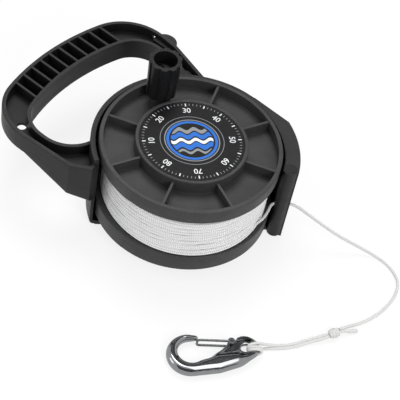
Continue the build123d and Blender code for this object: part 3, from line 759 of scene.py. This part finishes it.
def drum_data():
    """The inner layers of line as a turned form with a ripple for each turn."""
    low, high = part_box("line_core")
    profile = [(drum_inner, low.z)]
    for index in range(drum_ripples * ripple_steps + 1):
        share = index / (drum_ripples * ripple_steps)
        swell = abs(math.sin(math.pi * drum_ripples * share)) * ripple_depth
        profile.append((drum_outer + swell, low.z + (high.z - low.z) * share))
    profile.append((drum_inner, high.z))
    vertices, faces, uvs = [], [], []
    for radius, height in profile:
        for side in range(drum_sides):
            vertices.append(on_circle(math.tau * side / drum_sides, radius, height))
    facet = math.tau * drum_outer / drum_sides
    for index in range(len(profile)):
        low_row = index * drum_sides
        high_row = (index + 1) % len(profile) * drum_sides
        for side in range(drum_sides):
            following = (side + 1) % drum_sides
            faces.append((low_row + side, low_row + following, high_row + following, high_row + side))
            start, end = side * facet, (side + 1) * facet
            uvs += [(start, 0.0), (end, 0.0), (end, drum_uv_rise), (start, drum_uv_rise)]
    return smooth_mesh("line_drum", vertices, faces, uvs)


def knot_runs():
    """Three close wraps round the knot's strands and one strand that crosses over them."""
    low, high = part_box("line_knot")
    centre = (low + high) / 2
    start, end = Vector(free_route[-1]) * MM, Vector(loop_route[0]) * MM
    up = Vector((0.0, 0.0, 1.0))
    way = Vector((end.x - start.x, end.y - start.y, 0.0)).normalized()
    side = way.cross(up)
    wraps = []
    for index in range(int(wrap_turns * wrap_steps) + 1):
        share = index / (wrap_turns * wrap_steps)
        angle = math.tau * wrap_turns * share + wrap_start
        reach = wrap_reach * (wrap_end_share + (1 - wrap_end_share) * math.sin(math.pi * share))
        along = (share - 0.5) * wrap_spread_share * knot_half + wrap_lean * math.sin(angle)
        rise = up * (wrap_flat_share * reach * math.sin(angle) + wrap_lift)
        wraps.append(centre + way * along + side * reach * math.cos(angle) + rise)
    over = []
    for index in range(over_steps + 1):
        share = index / over_steps
        along = (share - 0.5) * over_spread_share * knot_half
        lift = over_lift * math.sin(math.pi * share)
        sway = over_sway * math.cos(math.pi * share)
        aside = side * (sway + lift * over_lean_share)
        over.append(centre + way * along + up * (lift * over_rise_share) + aside)
    cores = []
    for offset in (-core_offset, core_offset):
        core = []
        for share in (-1.0, -0.5, 0.0, 0.5, 1.0):
            apart = offset * (1.0 - core_pinch_share * (1.0 - abs(share)))
            core.append(centre + way * knot_half * share + side * apart)
        cores.append(core)
    return [wraps, over] + cores


def hitch_run():
    """The turns that the loop takes round the rim of the hook's eye, side by side."""
    cos, sin = math.cos(hook_turn), math.sin(hook_turn)
    points = []
    for index in range(rim_turns * rim_steps + 1):
        turns = index / rim_steps
        angle = math.tau * (turns - rim_start)
        y = rim_middle[1] + rim_pitch * (turns - rim_start)
        x = rim_middle[0] + rim_curve * y * y + rim_half[0] * math.cos(angle)
        z = rim_middle[2] + rim_half[1] * math.sin(angle)
        points.append(Vector((hook_x + x * cos - y * sin, hook_y + x * sin + y * cos, z)) * MM)
    return points


def add_strand(name, runs, radius, *replaced):
    """White line on the frame, along one list of points or more."""
    data = tube_data(name.split("_")[0], runs, radius)
    return add_piece(name, data, "frame", "line", line_white, *replaced)


def make_line(hook):
    """The lead, knot, tail, loop and free line."""
    add_strand("lead_strand", [route_points(lead_route)], WOUND_RADIUS, "line_lead")
    knot = add_strand("knot_wraps", knot_runs(), knot_radius, "line_knot")
    tail_points = route_points(tail_route)
    swells = [tail_swell * (index / len(tail_points)) ** 2 for index in range(len(tail_points))]
    raised = [point + Vector((0.0, 0.0, swell)) for point, swell in zip(tail_points, swells)]
    tail = add_strand("tail_strand", [raised], lambda index: LINE_RADIUS + swells[index], "line_tail")
    loop_points = route_points(loop_route)
    loop = add_strand("loop_strand", [loop_points], LINE_RADIUS, "line_loop")
    hitch = add_strand("hitch_turns", [hitch_run()], LINE_RADIUS)
    free_points = route_points(free_route)
    free = add_strand("free_strand", [free_points], LINE_RADIUS, "line_free")


# Hook


def capsule(x, y, first, second):
    """Distance to the outline round two circles and their tangents, each circle as (x, y, radius)."""
    (ax, ay, ar), (bx, by, br) = first, second
    span = math.hypot(bx - ax, by - ay)
    ux, uy = (bx - ax) / span, (by - ay) / span
    along = (x - ax) * ux + (y - ay) * uy
    off = np.abs((y - ay) * ux - (x - ax) * uy)
    lean = (ar - br) / span
    flat = math.sqrt(1 - lean * lean)
    test = along * flat - off * lean
    inner = off * flat + along * lean - ar
    low, high = np.hypot(along, off) - ar, np.hypot(along - span, off) - br
    return np.where(test < 0, low, np.where(test > flat * span, high, inner))


def blend(first, second, reach):
    """The nearer of two distances, with a soft join."""
    share = np.clip(0.5 + 0.5 * (second - first) / reach, 0.0, 1.0)
    return second * (1 - share) + first * share - reach * share * (1 - share)


def hook_distance(x, y):
    """Distance from the casting's outline in the hook's own plane, negative inside it."""
    whole = np.minimum(capsule(x, y, bow_circle, back_circle), capsule(x, y, back_circle, shank_circle))
    whole = np.minimum(whole, capsule(x, y, shank_circle, ring_circle))
    cut = capsule(x, y, throat_circle, waist_circle)
    cut = blend(cut, capsule(x, y, waist_circle, heel_circle), throat_blend)
    cut = blend(cut, capsule(x, y, throat_circle, nose_circle), nose_blend)
    mouth = np.maximum(np.abs(x - mouth_middle) - mouth_half, y - mouth_side)
    neck = np.maximum(np.maximum(neck_start - x, y - neck_side), x - neck_end)
    neck = np.maximum(neck, -capsule(x, y, ring_circle, boss_circle))
    cut = blend(blend(cut, mouth, mouth_blend), neck, neck_blend)
    hole = np.hypot(x - eye_x, y - eye_y) - eye_bore
    return -blend(blend(-whole, cut, edge_blend), hole, eye_blend)


def ease(value, stretch):
    """Nothing below the stretch of values, one above it and smooth between."""
    low, high = stretch
    share = np.clip((value - low) / (high - low), 0.0, 1.0)
    return share * share * (3 - 2 * share)


def hook_halves(x, y, depth):
    """How far the casting rises over its middle and drops below it: less where line and gate pass."""
    roundness = np.sqrt(1.0 - (1.0 - np.clip(depth / hook_round, 0.0, 1.0)) ** 2)
    nose = nose_thinning * ease(-x, nose_stretches[0]) * ease(-y, nose_stretches[1])
    limb = ease(x, limb_stretch)
    top = (thin_half + thick_extra * np.maximum(limb, ease(y, back_stretch)) - nose) * roundness
    from_eye = np.hypot(x - eye_x, y - eye_y)
    dish = ease(-from_eye, dish_stretch)
    top = top * (1 - dish) + (dish_half + dish_rise * ease(y, dish_rise_stretch)) * dish
    far = ease(-y, far_stretches[0]) * ease(-x, far_stretches[1])
    near = ease(y, near_stretches[0]) * ease(x, near_stretches[1])
    bottom = (thin_half + thick_extra * np.maximum(np.maximum(limb, near), far) - nose) * roundness
    return top, np.where(from_eye < eye_lip, np.maximum(bottom, eye_lip_half), bottom)


def snapped_grid():
    """A fine grid over the casting, whose outermost points are moved onto its outline."""
    snap_reach = 0.6 * hook_step
    probe = snap_probe
    rows = (np.arange(*stretch, hook_step) for stretch in (hook_grid_x, hook_grid_y))
    x, y = np.meshgrid(*rows, indexing="ij")
    away = hook_distance(x, y)
    kept = away < 0.5 * hook_step
    for _ in range(snap_rounds):
        slope_x = (hook_distance(x + probe, y) - hook_distance(x - probe, y)) / (2 * probe)
        slope_y = (hook_distance(x, y + probe) - hook_distance(x, y - probe)) / (2 * probe)
        size = np.maximum(slope_x**2 + slope_y**2, snap_least_slope)
        edge = np.abs(away) < snap_reach
        x = np.where(edge, x - away * slope_x / size, x)
        y = np.where(edge, y - away * slope_y / size, y)
        away = np.where(edge, hook_distance(x, y), away)
    return x, y, away, kept


def hook_data():
    """The hook as a smooth casting: two sheets over one grid, joined by a wall along their rim."""
    x, y, away, kept = snapped_grid()
    halves = hook_halves(x, y, np.maximum(-away, 0.0))
    cos, sin = math.cos(hook_turn), math.sin(hook_turn)
    world_x = hook_x + x * cos - y * sin
    world_y = hook_y + x * sin + y * cos
    vertices, index = [], {}
    for side, half in zip((1, -1), halves):
        for i, j in np.argwhere(kept):
            index[side, i, j] = len(vertices)
            height = hook_level + side * max(half[i, j], least_half)
            vertices.append((MM * world_x[i, j], MM * world_y[i, j], MM * height))
    faces, rim = [], {}
    for i, j in np.ndindex(kept.shape[0] - 1, kept.shape[1] - 1):
        corners = [c for c in ((i, j), (i + 1, j), (i + 1, j + 1), (i, j + 1)) if kept[c]]
        if len(corners) < 3:
            continue
        faces.append(tuple(index[1, a, b] for a, b in corners))
        faces.append(tuple(index[-1, a, b] for a, b in corners[::-1]))
        for first, second in zip(corners, corners[1:] + corners[:1]):
            key = frozenset((first, second))
            rim[key] = None if key in rim else (first, second)
    for pair in rim.values():
        if pair:
            (a, b), (c, d) = pair
            faces.append((index[1, c, d], index[1, a, b], index[-1, a, b], index[-1, c, d]))
    return plain_mesh("hook_cast", vertices, faces)


def make_hook():
    piece = add_piece("hook_cast", hook_data(), "frame", "polished_steel", polished_steel, "hook_body")
    grid = piece.modifiers.new("grid", "REMESH")
    grid.mode = "VOXEL"
    grid.voxel_size = hook_voxel
    grid.use_smooth_shade = True
    melt = piece.modifiers.new("melt", "SMOOTH")
    melt.factor = melt_share
    melt.iterations = melt_rounds
    return piece


# Label numbers


def number_data():
    """Plain numbers round the dial, each a thin printed shape."""
    label_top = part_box("hub_label")[1].z
    at_circle = Matrix.Translation((0.0, number_circle, label_top + number_ink_height))
    vertices, faces = [], []
    for index in range(number_count):
        text = bpy.data.curves.new("number", "FONT")
        text.body = str(number_step * (index + 1))
        text.size = number_size
        text.align_x = "CENTER"
        text.align_y = "CENTER"
        text.extrude = number_ink_half
        text.offset = number_bolder
        holder = bpy.data.objects.new("number", text)
        mesh = bpy.data.meshes.new_from_object(holder)
        turn = label_turn + math.pi / 2 - math.tau * index / number_count
        place = Matrix.Rotation(turn, 4, "Z") @ at_circle
        base = len(vertices)
        vertices += [place @ vertex.co for vertex in mesh.vertices]
        faces += [tuple(base + corner for corner in face.vertices) for face in mesh.polygons]
        bpy.data.meshes.remove(mesh)
        bpy.data.objects.remove(holder)
        bpy.data.curves.remove(text)
    return plain_mesh("label_numbers", vertices, faces)


# Stage


def stand(item, place, aim):
    """Puts a lamp or card at its place and turns it to its aim."""
    item.location = place
    item.rotation_mode = "QUATERNION"
    item.rotation_quaternion = (Vector(aim) - Vector(place)).to_track_quat("-Z", "Y")


def rectangle(name, wide, high, level=0.0):
    corners = [(-wide / 2, -high / 2), (wide / 2, -high / 2), (wide / 2, high / 2), (-wide / 2, high / 2)]
    return plain_mesh(name, [(x, y, level) for x, y in corners], [(0, 1, 2, 3)])


def make_camera():
    data = bpy.data.cameras.new("camera")
    data.lens = camera_lens
    data.sensor_width = camera_sensor
    camera = add_object("camera", data)
    right = camera_right.normalized()
    back = right.cross(camera_up).normalized()
    up = back.cross(right)
    turn = Matrix((right, up, back)).transposed().to_4x4()
    camera.matrix_world = Matrix.Translation(camera_place) @ turn
    bpy.context.scene.camera = camera


def add_lamp(name, place, aim, size, power):
    data = bpy.data.lights.new(name, "AREA")
    data.shape = "DISK"
    data.size = size
    data.energy = power
    stand(add_object(name, data), place, aim)


def make_floor():
    """White where the camera and reflections see it, and a plain pale floor that keeps its shadow."""
    side, level = 6.0, -0.05 * MM
    pale = (0.86, 0.86, 0.86, 1.0)
    glow_share = 0.8
    s = Shader("floor")
    tree = s.tree
    tree.nodes.remove(s.surface)
    path = s.node("LightPath").outputs
    seen = s.math("MAXIMUM", path["Is Camera Ray"], path["Is Glossy Ray"])
    seen = s.math("MAXIMUM", seen, path["Is Transmission Ray"])
    plain = s.node("BsdfDiffuse", {"Color": pale})
    glow = s.node("Emission", {"Color": WHITE, "Strength": 1.0})
    inputs = {0: s.math("MULTIPLY", seen, glow_share), 1: plain.outputs[0], 2: glow.outputs[0]}
    both = s.node("MixShader", inputs)
    tree.links.new(both.outputs[0], tree.nodes["Material Output"].inputs["Surface"])
    data = rectangle("floor", side, side, level)
    data.materials.append(s.material)
    add_object("floor", data)


def make_world():
    """White where the camera, glossy and transmission rays see it, and soft grey light elsewhere."""
    soft_light, seen_light = 0.58, 1.0
    world = bpy.data.worlds.new("studio")
    bpy.context.scene.world = world
    world.use_nodes = True
    tree = world.node_tree
    tree.nodes.clear()
    path = tree.nodes.new("ShaderNodeLightPath").outputs
    seen = path["Is Camera Ray"]
    for ray in ("Is Glossy Ray", "Is Transmission Ray"):
        join = tree.nodes.new("ShaderNodeMath")
        join.operation = "MAXIMUM"
        tree.links.new(seen, join.inputs[0])
        tree.links.new(path[ray], join.inputs[1])
        seen = join.outputs[0]
    mix = tree.nodes.new("ShaderNodeMixShader")
    tree.links.new(seen, mix.inputs[0])
    for index, strength in ((1, soft_light), (2, seen_light)):
        light = tree.nodes.new("ShaderNodeBackground")
        light.inputs["Color"].default_value = WHITE
        light.inputs["Strength"].default_value = strength
        tree.links.new(light.outputs[0], mix.inputs[index])
    output = tree.nodes.new("ShaderNodeOutputWorld")
    tree.links.new(mix.outputs[0], output.inputs["Surface"])


def add_card(name, place, aim, wide, high, glow=0.0):
    """A dark or glowing card, seen only in reflections, as a studio has for bright metal."""
    black = (0.01, 0.01, 0.01, 1.0)
    s = Shader(name)
    s.finish(Base_Color=black, Roughness=1.0, Emission_Color=WHITE, Emission_Strength=glow)
    data = rectangle(name, wide, high)
    data.materials.append(s.material)
    card = add_object(name, data)
    stand(card, place, aim)
    for ray in ("camera", "diffuse", "shadow", "transmission"):
        setattr(card, "visible_" + ray, False)


# The whole scene
dress_cad()
make_winding()
# The inner layers carry the darker copy of the line, painted shade under the winding
add_piece("line_drum", drum_data(), "spool", "line", shaded_inner_line, "line_core")
make_line(make_hook())
add_piece("label_numbers", number_data(), "spool", "label", number_ink)
make_camera()
make_floor()
make_world()
add_card("card_front", (0.45, -0.80, 1.14), hook_aim, wide=1.5, high=1.3, glow=0.14)
add_card("card_back", (-0.32, 0.84, 1.11), hook_aim, wide=1.8, high=0.9, glow=0.14)
add_card("card_side", (0.76, -0.31, 0.58), hook_aim, wide=0.5, high=0.4)
add_card("card_bright", (0.25, 0.19, 1.16), hook_aim, wide=1.0, high=0.3, glow=4.0)
add_lamp("key", (-0.5, 0.5, 1.5), reel_aim, size=0.9, power=13.5)
add_lamp("fill", (-0.9, -0.9, 0.9), reel_aim, size=0.7, power=3.0)
add_lamp("side", (1.0, -0.4, 0.8), line_aim, size=0.5, power=7.0)
bpy.context.scene.view_settings.view_transform = "Standard"
